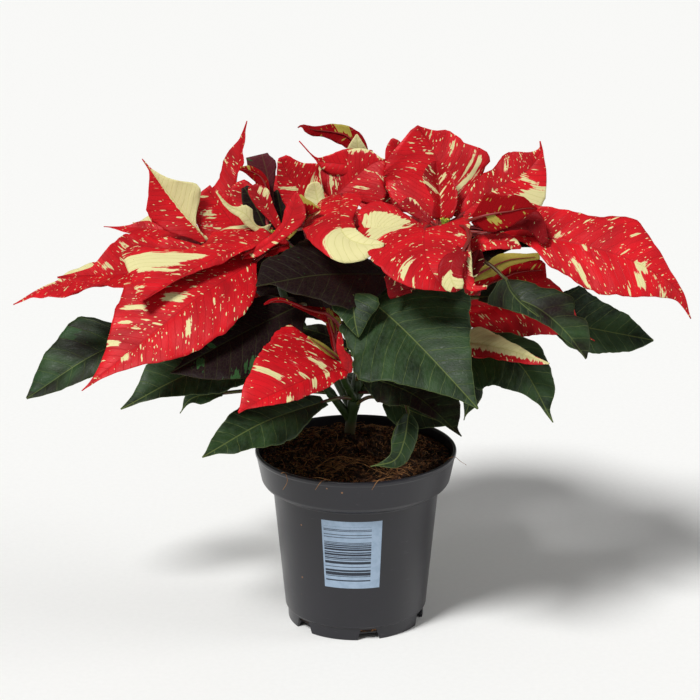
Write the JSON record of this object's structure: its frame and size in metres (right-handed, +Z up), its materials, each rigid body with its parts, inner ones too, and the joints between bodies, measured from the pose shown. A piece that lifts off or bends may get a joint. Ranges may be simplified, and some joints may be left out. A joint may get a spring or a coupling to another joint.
{
  "type": "potted poinsettia",
  "caption": "Poinsettia with red bracts flecked with cream over dark green leaves, growing from dark compost in a tapered black plastic pot that stands on its foot ring.",
  "frame": {"origin": "middle of the pot's underside, on the surface that it stands on", "axes": "+Z up along the pot's axis, -Y towards the viewer of the picture, +X to the viewer's right"},
  "size_m": [0.4199, 0.2915, 0.3262],
  "materials": {
    "pot_plastic": "satin black moulded plastic with a pale blue printed panel of plain bars",
    "soil": "loose dark peat with coir fibres",
    "leaf": "dark green leaves with pale veins on green stems, some maroon",
    "bract": "red bracts with cream flecks and patches",
    "bud": "waxy yellow-green buds"
  },
  "bodies": {
    "root": {"pot": "pot_plastic", "soil": "soil", "main_stem": "leaf", "shoot_left": "leaf", "bracts_left": "bract", "cyathia_left": "bud", "shoot_centre": "leaf", "bracts_centre": "bract", "cyathia_centre": "bud", "shoot_right": "leaf", "bracts_right": "bract", "cyathia_right": "bud", "shoot_low_right": "leaf", "bracts_low_right": "bract", "cyathia_low_right": "bud", "shoot_front": "leaf", "bracts_front": "bract", "cyathia_front": "bud", "shoot_back": "leaf", "bracts_back": "bract", "cyathia_back": "bud", "shoot_low_back": "leaf", "bracts_low_back": "bract", "cyathia_low_back": "bud"}
  },
  "joints": []
}
